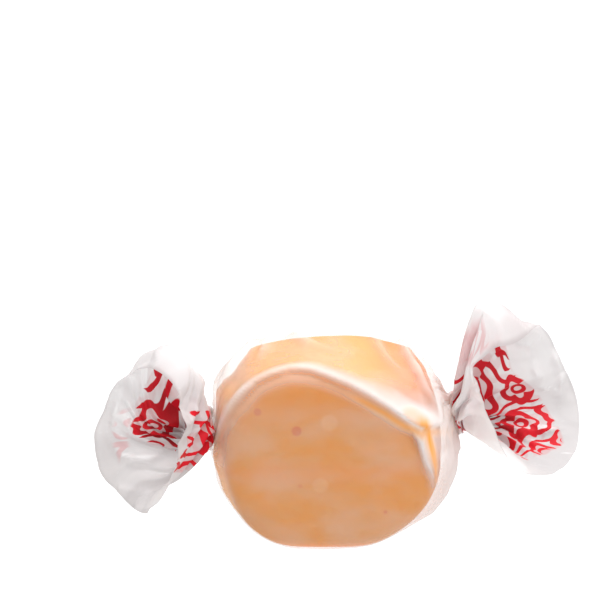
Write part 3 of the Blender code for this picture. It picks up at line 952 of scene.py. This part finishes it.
def raise_crease(points, line, height, below, above, lean):
    """Moves the sheet out along a guide line, and gives each point's nearness to the line and to its foot."""
    along_line = unit(np.gradient(line, axis=0))
    flat = points.reshape(-1, 3)
    flat_normals = smooth_normals.reshape(-1, 3)
    nearest = np.linalg.norm(flat[:, None, :] - line[None, :, :], axis=-1).argmin(axis=1)
    offset = flat - line[nearest]
    ahead = np.sum(offset * along_line[nearest], axis=-1)
    half_step = 0.5 * np.linalg.norm(np.diff(line, axis=0), axis=-1).max()
    off_line = np.linalg.norm(offset - ahead[:, None] * along_line[nearest], axis=-1)
    distance = np.hypot(off_line, np.maximum(np.abs(ahead) - half_step, 0.0))
    sideways = unit(np.cross(along_line[nearest], flat_normals))
    is_above = np.sum(offset * sideways, axis=-1) < 0
    width = np.where(is_above, above, below)
    profile = np.maximum(1.0 - distance / width, 0.0)
    rise = height[nearest] * profile**RIDGE_SHARPNESS
    moved = flat + rise[:, None] * (flat_normals + lean * sideways)
    size = np.minimum(np.abs(height[nearest]), 1.0)
    foot = ease(1.0 - np.abs(distance - FOOT_PLACE * width)) * size * ~is_above
    foot = foot * (LEAST_FOOT + (1.0 - LEAST_FOOT) * between(line[nearest, 0], FOOT_FROM, FOOT_TO))
    closeness = profile * size
    return moved.reshape(points.shape), *(values.reshape(points.shape[:2]) for values in (closeness, foot))


# %% Raise the creases
SHADED_CREASES = 2
SOFT_RIDGE = 0.2
WHITE_FROM, WHITE_TO = 0.35, 0.60
fold = np.zeros((ROWS, COLUMNS + 1))
shade = np.zeros_like(fold)
for number, (guide, below, above, lean_down) in enumerate(BODY_CREASES):
    sheet, closeness, foot = raise_crease(sheet, *body_guide(guide), below, above, lean_down)
    is_shaded = number < SHADED_CREASES
    fold = np.maximum(fold, closeness if is_shaded else SOFT_RIDGE * closeness)
    shade = np.maximum(shade, foot if is_shaded else 0.0)
white_line = np.zeros_like(fold)
for creases, is_left in ((LEFT_CREASES, True), (RIGHT_CREASES, False)):
    for guide, below, above, lean_down in creases:
        sheet, closeness, _ = raise_crease(sheet, *wing_guide(guide, is_left), below, above, lean_down)
        white_line = np.maximum(white_line, between(closeness, WHITE_FROM, WHITE_TO))
print("points on a fold:", int((fold > 0.5).sum()), "and at its foot:", int((shade > 0.5).sum()))

# %% [markdown]
# ## White creases
#
# Where waxed paper is bent sharply the wax cracks and the line turns white. The bends of the crumpled
# facets are where the height changes its slope, which the difference between a point and its neighbours
# shows.

# %% Find the sharp bends of the facets
BENT_FROM, BENT_TO = 0.06, 0.18
BENT_WHITENESS = 0.8
neighbours = sum(np.roll(crumple, step, axis) for axis in (0, 1) for step in (1, -1))
bend = np.abs(4.0 * crumple - neighbours)
bend[0] = bend[-1] = 0.0
bend[:, 0] = bend[:, -1] = 0.0
white_line = np.maximum(white_line, BENT_WHITENESS * between(bend, BENT_FROM, BENT_TO))
print("bend between", round(float(np.median(bend)), 3), "and", round(float(bend.max()), 3))

# %% [markdown]
# ## Keeping the paper outside the candy
#
# The paper may touch the candy but not enter it. Each point that is too close is moved out to the thickness
# of the wax. Points that were moved out one by one leave a ragged surface near the twists, above all on the
# left. It is ironed there: each point moves towards the middle of its four neighbours a few times, and the
# candy is cleared again. The distance that is left is kept, because the material reads it: waxed paper is
# clear where it touches and white where there is air behind it.

# %% Move the paper out of the candy
LEAST_AIR = 0.10
candy_mesh = bmesh.new()
candy_mesh.from_mesh(candy.data)
bmesh.ops.scale(candy_mesh, vec=(1 / MM,) * 3, verts=candy_mesh.verts)
candy_tree = BVHTree.FromBMesh(candy_mesh)
candy_mesh.free()


def clear_of_candy(points):
    """Moves points out of the candy and gives their distances to it."""
    flat = points.reshape(-1, 3)
    air = np.zeros(len(flat))
    for i, point in enumerate(flat):
        near, normal, _, distance = candy_tree.find_nearest(Vector(point))
        if (Vector(point) - near).dot(normal) < LEAST_AIR:
            flat[i] = np.array(near + normal * LEAST_AIR)
            distance = LEAST_AIR
        air[i] = distance
    return flat.reshape(points.shape), air.reshape(points.shape[:2])


sheet, air = clear_of_candy(sheet)
print("points that lie on the candy:", int((air <= LEAST_AIR).sum()), "of", air.size)

# %% Iron the paper near the twists
IRONED_FROM, IRONED_TO = 15.5, 24.0
FADE_AT_TWIST, FADE_AT_CANDY = 2.0, 3.0
IRONING_PASSES = 6
RIGHT_IRONING = 0.15
OVERLAP_AIR = 0.15
OVERLAP_STEP = 0.012
ABOVE_FLOOR = 0.02


def ironed(points, strength):
    """The points, moved towards the middle of their neighbours by a strength for each row."""
    for _ in range(IRONING_PASSES):
        middle = 0.25 * (points[:-2, 1:-1] + points[2:, 1:-1] + points[1:-1, :-2] + points[1:-1, 2:])
        points[1:-1, 1:-1] += strength[1:-1, None, None] * (middle - points[1:-1, 1:-1])
    return points


near_twist = between(inwards, IRONED_FROM, IRONED_FROM + FADE_AT_TWIST)
near_twist = near_twist * between(inwards, IRONED_TO, IRONED_TO - FADE_AT_CANDY)
near_twist = near_twist * np.where(from_left < from_right, 1.0, RIGHT_IRONING)
sheet, air = clear_of_candy(ironed(sheet, near_twist))
sheet[..., 2] = np.maximum(sheet[..., 2], ABOVE_FLOOR)
overlap_share = ease((turns - 1.0) / OVERLAP_STEP)[None, :]
sheet = sheet + OVERLAP_AIR * overlap_share[..., None] * outward_sign * sheet_normals(sheet)
print("air under the paper:", round(air.min(), 2), "to", round(air.max(), 2), "mm")

# %% [markdown]
# ## Which way the paper faces
#
# The paper that faces up gets a painted sheen for the lamp above, and the paper that faces the two ends a
# painted sheen at its grazing sides, while it stays clear over the front and the back. The normals of the
# finished sheet say which is which, as two shares from 0 to 1 that the material reads.

# %% Sort the paper by its normals
UPWARDS_TIMES = 1.2
TURNED_OVER = 0.7
final_normals = sheet_normals(sheet) * outward_sign
# Painted sheen: shares of the paper that faces up and that faces the ends.
looseness = ease(final_normals[..., 2] * UPWARDS_TIMES)
turned = ease((1.0 - np.abs(final_normals[..., 1])) / TURNED_OVER) * (1.0 - looseness)
print("share of the paper that faces up:", round(float((looseness > 0.5).mean()), 2))

# %% [markdown]
# ## Where the print lies
#
# The maker prints a band of red near each cut edge of the sheet. It could be drawn on the flat sheet, but
# where the sheet is gathered its pattern would be squeezed into thin rays, so it is drawn as if on each
# opened end seen from the front: round the twist by the column's angle, and outwards by the way to the cut
# edge. Tables round the twist say how far the band comes out, where a second layer of paper lies behind and
# makes it whiter, where the paper is painted lighter as painted light and darker as painted shade, and where
# print from such a layer shows through faintly.

# %% Choose where the print, the doubled paper and the painted light and shade lie
LEFT_PRINT = (
    # (direction round the twist, how far out the print goes as a share of the way to the cut edge)
    (10, 0.62), (40, 0.70), (52, 0.10), (100, 0.06), (114, 0.45), (130, 0.53), (145, 0.58), (180, 0.62),
    (215, 0.50), (238, 0.36), (262, 0.15), (300, 0.20), (322, 0.80), (332, 1.0), (345, 1.0), (352, 0.75),
)
RIGHT_PRINT = (
    (0, 0.60), (30, 0.46), (60, 0.42), (90, 0.30), (112, 0.30), (140, 0.30), (148, 0.0), (232, 0.0),
    (250, 0.66), (300, 0.86), (330, 0.70),
)
LEFT_LAYERS_AND_LIGHT = (
    # (direction round the twist, 1 for two layers, 0 for one and below 0 for one in painted shadow;
    # between these, values are also raised for painted light and lowered for painted shade)
    (60, 0.3), (75, 0.7), (125, 0.7), (140, 0.3), (190, 0.3), (205, 0.0), (260, 0.0), (280, 0.3),
)
RIGHT_LAYERS_AND_LIGHT = (
    (0, 0.2), (40, 0.5), (85, 0.5), (105, 1.0), (215, 1.0), (235, 0.0), (255, -0.6), (300, -0.6), (330, -0.3),
)
LEFT_FADED = ((150, 0.0), (162, 1.0), (226, 1.0), (238, 0.0))
RIGHT_FADED = ((114, 0.0), (117, 1.0), (127, 1.0), (131, 0.0))
FADED_BANDS = (
    # shares of the way to the cut edge where the faint print starts and stops, left and right
    ((0.62, 0.67), (0.82, 0.76)),
    ((0.26, 0.34), (0.98, 0.94)),
)
INK_BEFORE_TWIST = 2.0
print("directions in the tables of the print:", len(LEFT_PRINT), "left and", len(RIGHT_PRINT), "right")


# %% Give each point its share of the print
def round_table(left_pairs, right_pairs):
    """A value for each point of both ends, from pairs of direction and value, read round the twist."""
    sides = []
    for pairs, at in ((left_pairs, 180.0 - angles), (right_pairs, angles)):
        directions, values = np.array(pairs, dtype=float).T
        sides.append(np.interp(np.mod(at, 360.0), directions, values, period=360.0))
    return np.where(on_left, *sides)


on_left = (from_left < from_right)[:, None]
share_out = np.clip(1.0 - inwards / WING_LENGTH, -0.5, 1.0)[:, None]
ink_reach = (round_table(LEFT_PRINT, RIGHT_PRINT) - share_out) * WING_LENGTH
ink_reach = np.minimum(ink_reach, (WING_LENGTH + INK_BEFORE_TWIST - inwards)[:, None])
layers_and_light = round_table(LEFT_LAYERS_AND_LIGHT, RIGHT_LAYERS_AND_LIGHT)
bands = [between(share_out, *start) * between(share_out, *stop) for start, stop in FADED_BANDS]
faded = round_table(LEFT_FADED, RIGHT_FADED) * np.where(on_left, *bands)
print("share of the sheet with print:", round(float((ink_reach > 0.0).mean()), 2))

# %% Lay the print on each opened end
PRINT_CORE = 1.0
PRINT_SCALE_LEFT, PRINT_SHIFT_LEFT = 0.80, (6.36, 3.36)
PRINT_SCALE_RIGHT, PRINT_SHIFT_RIGHT = 1.25, (40.0, 3.0)
from_core = np.maximum(share_out * WING_LENGTH + PRINT_CORE, 0.5 * PRINT_CORE)
print_ways = np.stack([np.cos(np.radians(angles)), np.sin(np.radians(angles))], axis=-1)
print_place = from_core[..., None] * print_ways
print_left = print_place * PRINT_SCALE_LEFT + PRINT_SHIFT_LEFT
print_right = print_place * PRINT_SCALE_RIGHT + PRINT_SHIFT_RIGHT
print_place = np.where(on_left[..., None], print_left, print_right)
print("the print reaches", round(float(from_core.max()), 1), "mm out from the twist")

# %% [markdown]
# ## The finished mesh of the paper
#
# The grid that was added first gets its places now. What was measured goes on the mesh as named attributes,
# one number for each point, and as two UV maps: the flat sheet in millimetres, and the place in the print.

# %% Move the grid's vertices and write its maps
MAPS = {
    "air": air, "loose": looseness, "turned": turned, "fold": fold, "shade": shade, "line": white_line,
    "ink": ink_reach, "faded": faded, "layers_and_light": layers_and_light,
}
paper.data.vertices.foreach_set("co", (sheet[row_of, column_of] * MM).ravel())
for name, values in MAPS.items():
    paper.data.attributes.new(name, "FLOAT", "POINT").data.foreach_set("value", values[row_of, column_of])
loops = np.zeros(len(paper.data.loops), dtype=np.int32)
paper.data.loops.foreach_get("vertex_index", loops)
for old in list(paper.data.uv_layers):
    paper.data.uv_layers.remove(old)
flat_place = np.stack([across[column_of], along[row_of]], axis=-1)
for name, places in (("Sheet", flat_place), ("Print", print_place[row_of, column_of])):
    uv = paper.data.uv_layers.new(name=name)
    uv.data.foreach_set("uv", places[loops].astype(np.float32).ravel())
paper.data.update()
only(paper)
bpy.ops.object.shade_smooth()
print("paper:", len(paper.data.polygons), "faces,", len(MAPS), "attributes")

# %% [markdown]
# ## The red print
#
# The pattern is flowers in staggered rows with wavy vines between them. Each shape is a distance that is
# below zero inside it: a wavy circle for the petals, of which only the outline is inked, a ring for the
# heart and a band round a sine for the vine. The smallest of the distances is the distance to the ink. Such
# sums stay sharp at any size, where an image would blur.

# %% Draw the flowers as distances
FLOWER_SPACING = 7.6
PETAL_COUNT = 5.0
PETAL_RADIUS, PETAL_WAVE = 2.5, 0.40
OUTLINE_HALF, OUTLINE_CHANGE = 0.62, 0.16
HEART_RADIUS, HEART_HALF = 1.0, 0.36
VINE_INWARDS, VINE_WAVE, VINE_HALF = 0.9, 0.7, 0.38
TURN_BY_COLUMN, TURN_BY_ROW = 0.9, 1.7
FAR_AWAY = 5.0


def red_pattern(x, y):
    """The distance to the red ink at a place in the print, and whether the place is inside a flower."""
    row = (y / FLOWER_SPACING).maths("FLOOR")
    x = x + row * (0.5 * FLOWER_SPACING)
    cell = (x / FLOWER_SPACING).maths("FLOOR")
    dx = x - (cell + 0.5) * FLOWER_SPACING
    dy = y - (row + 0.5) * FLOWER_SPACING
    angle = dy.maths("ARCTAN2", dx) + cell * TURN_BY_COLUMN + row * TURN_BY_ROW
    radius = (dx * dx + dy * dy).maths("SQRT")
    petals = radius - (PETAL_RADIUS + PETAL_WAVE * (angle * PETAL_COUNT).maths("COSINE"))
    outline = petals.maths("ABSOLUTE") - (OUTLINE_HALF + OUTLINE_CHANGE * (angle * 2.0).maths("SINE"))
    heart = (radius - HEART_RADIUS).maths("ABSOLUTE") - HEART_HALF
    swing = VINE_WAVE * (x * (2 * math.pi / FLOWER_SPACING)).maths("SINE")
    vine_place = 0.5 * FLOWER_SPACING - VINE_INWARDS - swing
    vine = (dy.maths("ABSOLUTE") - vine_place).maths("ABSOLUTE") - VINE_HALF
    inside = petals < 0.0
    return outline.maths("MINIMUM", heart).maths("MINIMUM", vine + inside * FAR_AWAY), inside


print("a flower is", 2 * (PETAL_RADIUS + PETAL_WAVE), "mm wide, one in every", FLOWER_SPACING, "mm")


# %% Ink the print
WOBBLE = 1.6
FAR_LAYER_SHIFT = (3.1, 1.7)
THIN_WITHIN, THIN_SHARE = 0.7, 0.5
BAND_FADE = (-0.4, 0.0)
INK_SOFTNESS, FAR_SOFTNESS, FADED_SOFTNESS = 0.05, 0.25, 0.20
FAR_SHARE, FADED_SHARE, INSIDE_SHARE = 0.26, 0.44, 0.38
print("the ink shows through a layer with a share of", FAR_SHARE)


def inked(paint, distance, softness):
    """1 where there is ink and 0 elsewhere, from the distance to it."""
    return 1.0 - paint.between(distance, -softness, softness)


def ink_and_tint(paint, reach, faded):
    """How much ink a point has, and how much it is tinted by ink that shows through."""
    where = paint.node("ShaderNodeUVMap", {"uv_map": "Print"})
    x, y, _ = paint.parts(where)
    wobble = (paint.noise(where, scale=0.30, detail=0.0) - 0.5) * WOBBLE
    near_ink, inside = red_pattern(x + wobble, y - wobble)
    far_ink, _ = red_pattern(x - wobble + FAR_LAYER_SHIFT[0], y + wobble + FAR_LAYER_SHIFT[1])
    thinning = (THIN_WITHIN - reach).maths("MAXIMUM", 0.0) * THIN_SHARE
    in_band = paint.between(reach, *BAND_FADE)
    ink = inked(paint, near_ink + thinning, INK_SOFTNESS) * in_band
    seen_through = inked(paint, far_ink, FAR_SOFTNESS) * in_band * FAR_SHARE
    faded_print = inked(paint, near_ink, FADED_SOFTNESS) * faded * FADED_SHARE
    tint = seen_through.maths("MAXIMUM", faded_print).maths("MAXIMUM", inside * in_band * INSIDE_SHARE)
    return ink, tint


# %% [markdown]
# ## Waxed paper
#
# Three things happen to light that meets waxed paper: some goes straight through, some is scattered back,
# and some is scattered forwards, which makes the far side glow. A glass shader would bend the light, which
# so thin a sheet does not. Here a Mix Shader node shares the light out between a Principled and a
# Translucent shader, and a second one between those two and a Transparent one, by the opacity. That grows
# with the air under the paper, because waxed paper is clear where it touches the candy and white where it
# stands off it.

# %% Choose the colours of the paper
ONE_LAYER_SHADED = (0.54, 0.505, 0.505, 1.0)
TWO_LAYERS_LIT = (0.99, 0.975, 0.975, 1.0)
SHADOW = (0.34, 0.31, 0.315, 1.0)
WHITER_OVER_CANDY = (0.90, 0.88, 0.87, 1.0)
CREASED = (0.95, 0.94, 0.94, 1.0)
FOLD_SHADOW = (0.90, 0.38, 0.055, 1.0)
FAINT_INK = (0.66, 0.10, 0.11, 1.0)
INK = (0.60, 0.010, 0.020, 1.0)
GLOW = (0.90, 0.885, 0.885, 1.0)
CUT_EDGE = (0.0, 0.6)
CANDY_STARTS = (12.5, 16.0)
GLOW_FADES = (17.0, 20.0)
GLOW_IN_ENDS, GLOW_LOST = 0.36, 0.18
EDGE_SHADOW, CREASE_SHARE = 0.5, 0.7
print("paper colours: one layer", ONE_LAYER_SHADED[:3], "two layers", TWO_LAYERS_LIT[:3])


# %% Colour the paper
def paper_colour(paint, at, from_edge, ink, tint):
    """The colour of the paper, with its painted light and shade, white creases and print."""
    cut_edge = 1.0 - paint.between(from_edge, *CUT_EDGE)
    # Painted light and shade: the layers table whitens lit parts of the ends, greys others and darkens some.
    in_shadow = (0.0 - at["layers_and_light"]).maths("MAXIMUM", cut_edge * EDGE_SHADOW)
    colour = paint.mix(at["layers_and_light"], ONE_LAYER_SHADED, TWO_LAYERS_LIT)
    colour = paint.mix(in_shadow, colour, SHADOW)
    # Painted light: from the twists inwards the paper is painted whiter than on the ends.
    colour = paint.mix(paint.between(from_edge, *CANDY_STARTS), colour, WHITER_OVER_CANDY)
    colour = paint.mix(at["line"] * CREASE_SHARE, colour, CREASED)
    # Painted shadow: deep orange at the foot of the front folds, for the shadow that they cast on the candy.
    colour = paint.mix(at["shade"], colour, FOLD_SHADOW)
    colour = paint.mix(tint, colour, FAINT_INK)
    return paint.mix(ink, colour, INK)


# %% Let light through the paper
TOUCHING_AIR, WHITE_AIR = 0.14, 2.0
LIFTED_ENDS = (14.0, 18.0)
TIGHT_AND_SHADED_HEIGHT = (16.0, 20.5)
PATCH_RANGE = (0.32, 0.68)
CLEAREST, PATCHES_ADD, TIGHT_AND_SHADED_TAKES = 0.05, 0.16, 0.7
SHEEN_FROM_ABOVE_ADDS, TURNED_ADDS = 0.10, 0.14
MOST_OPAQUE, CANDY_TAKES = 0.92, 0.04
FOLD_ADDS, SHADE_ADDS, LINE_ADDS, FIBRES_ADD = 0.42, 0.70, 0.20, 0.06
INK_OPACITY = 0.995
print("the paper stops", CLEAREST, "to", MOST_OPAQUE, "of the light")


def paper_opacity(paint, at, from_edge, ink, fibres):
    """How much of the light the paper stops, from the air gap, the folds and the ink."""
    _, _, height = paint.parts(paint.place())
    patches = paint.noise(paint.place((0.11, 0.11, 0.20)), detail=3.0, distortion=0.3)
    # Partly painted shade: clearer paper at the top of the face, tight there and under the front fold's
    # shadow.
    tight_and_shaded = paint.between(height, *TIGHT_AND_SHADED_HEIGHT) * (1.0 - at["loose"]) * (1.0 - at["turned"])
    touching = (CLEAREST + PATCHES_ADD * paint.between(patches, *PATCH_RANGE)) * (1.0 - tight_and_shaded * TIGHT_AND_SHADED_TAKES)
    # Painted sheen: paper that faces up and paper turned to the ends is whiter.
    touching = touching + SHEEN_FROM_ABOVE_ADDS * at["loose"] + TURNED_ADDS * at["turned"]
    standing_off = MOST_OPAQUE - CANDY_TAKES * paint.between(from_edge, *CANDY_STARTS)
    lift = paint.between(at["air"], TOUCHING_AIR, WHITE_AIR)
    lift = lift.maths("MAXIMUM", 1.0 - paint.between(from_edge, *LIFTED_ENDS))
    opacity = touching + lift * (standing_off - touching)
    opacity = opacity + at["fold"] * FOLD_ADDS + at["shade"] * SHADE_ADDS + at["line"] * LINE_ADDS
    opacity = opacity + (fibres - 0.5) * FIBRES_ADD
    return opacity.maths("MINIMUM", MOST_OPAQUE).maths("MAXIMUM", ink * INK_OPACITY)


# %% Paint the paper
def paint_paper():
    """Waxed paper, clear where it touches the candy, with a red pattern on both ends."""
    paint = Paint("waxed_paper")
    at = {name: paint.node("ShaderNodeAttribute", {"attribute_name": name}, out=2) for name in MAPS}
    _, sheet_along, _ = paint.parts(paint.node("ShaderNodeUVMap", {"uv_map": "Sheet"}))
    from_edge = sheet_along.maths("MINIMUM", along[-1] - sheet_along)
    fibres = paint.noise(paint.place((0.9, 0.9, 0.9)), detail=4.0, roughness=0.6)
    ink, tint = ink_and_tint(paint, at["ink"], at["faded"])
    material = paint.surface(
        Base_Color=paper_colour(paint, at, from_edge, ink, tint), Roughness=0.40, Specular_IOR_Level=0.12,
        Normal=paint.bump(fibres, 0.12, 0.2 * MM),
    )
    glowing = GLOW_IN_ENDS - GLOW_LOST * paint.between(from_edge, *GLOW_FADES)
    glowing = glowing * (1.0 - ink) * (1.0 - tint) * (1.0 - at["shade"])
    opacity = paper_opacity(paint, at, from_edge, ink, fibres)
    front = Value(paint, paint.shader.outputs[0])
    glow = paint.node("ShaderNodeBsdfTranslucent", {}, {"Color": GLOW})
    clear = paint.node("ShaderNodeBsdfTransparent", {}, {"Color": WHITE})
    stopped = paint.node("ShaderNodeMixShader", {}, {0: glowing, 1: front, 2: glow})
    whole = paint.node("ShaderNodeMixShader", {}, {0: opacity, 1: clear, 2: stopped})
    paint.put(paint.output.inputs["Surface"], whole)
    return material


paper.data.materials.clear()
paper.data.materials.append(paint_paper())
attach(paper, "root")
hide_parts("wrapper")
print("paper material:", len(paper.active_material.node_tree.nodes), "nodes")
